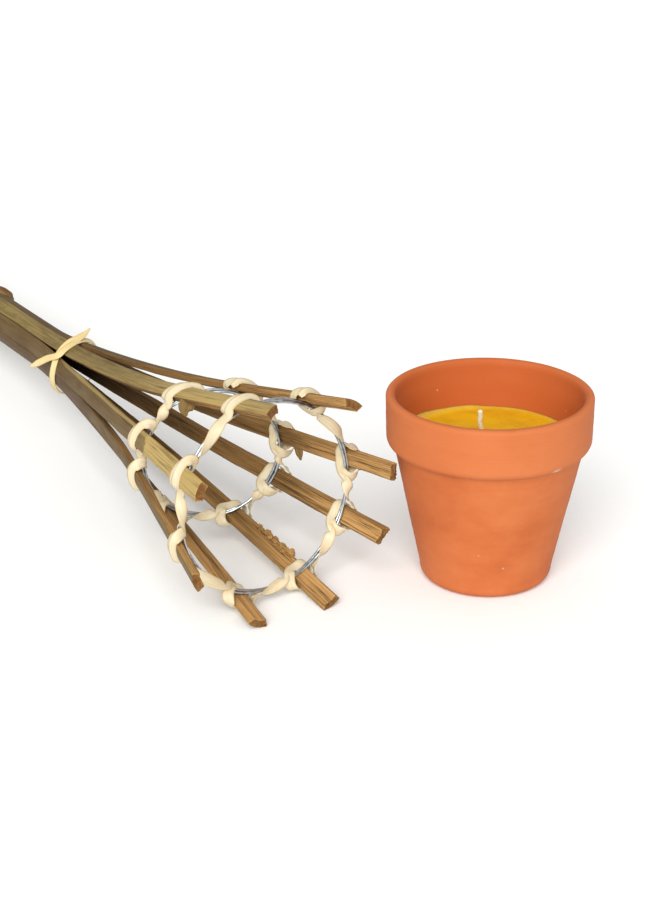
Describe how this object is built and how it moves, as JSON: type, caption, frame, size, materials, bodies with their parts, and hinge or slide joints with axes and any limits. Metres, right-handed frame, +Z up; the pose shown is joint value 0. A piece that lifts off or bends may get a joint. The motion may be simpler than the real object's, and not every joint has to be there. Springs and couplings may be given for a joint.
{
  "type": "garden torch",
  "caption": "Garden torch: a bamboo pole whose end is split into slats spread over wire rings as a basket, with a terracotta pot candle standing beside it.",
  "frame": {"origin": "on the ground under the middle of the whole set, with the torch lying down and the pot standing beside its basket", "axes": "+X runs from the pole's foot towards the basket, +Z is up, and the pot stands on the +Y side of the basket"},
  "size_m": [0.931, 0.2384, 0.126],
  "materials": {
    "bamboo_skin": "weathered satin skin",
    "split_bamboo": "raw fibrous split face",
    "galvanised_wire": "dull zinc",
    "peel": "matt plant peel",
    "terracotta": "unglazed, matt",
    "wax": "satin wax",
    "cotton": "waxed braid",
    "tinplate": "bright tin",
    "cork": "raw"
  },
  "bodies": {
    "torch": {"pole": "bamboo_skin", "slat_1": "split_bamboo", "slat_2": "split_bamboo", "slat_3": "split_bamboo", "slat_4": "split_bamboo", "slat_5": "split_bamboo", "slat_6": "split_bamboo", "slat_7": "split_bamboo", "slat_8": "split_bamboo", "upper_ring": "galvanised_wire", "lower_ring": "galvanised_wire", "upper_lashing": "peel", "lower_lashing": "peel", "pole_tie": "peel"},
    "pot": {"pot": "terracotta", "wax": "wax", "wick": "cotton", "wick_sustainer": "tinplate", "drain_plug": "cork"}
  },
  "joints": [
    {"name": "pot_lift", "type": "slide", "parent": "torch", "child": "pot", "axis": [0, 0, 1], "range_m": [0, 0.22]}
  ]
}
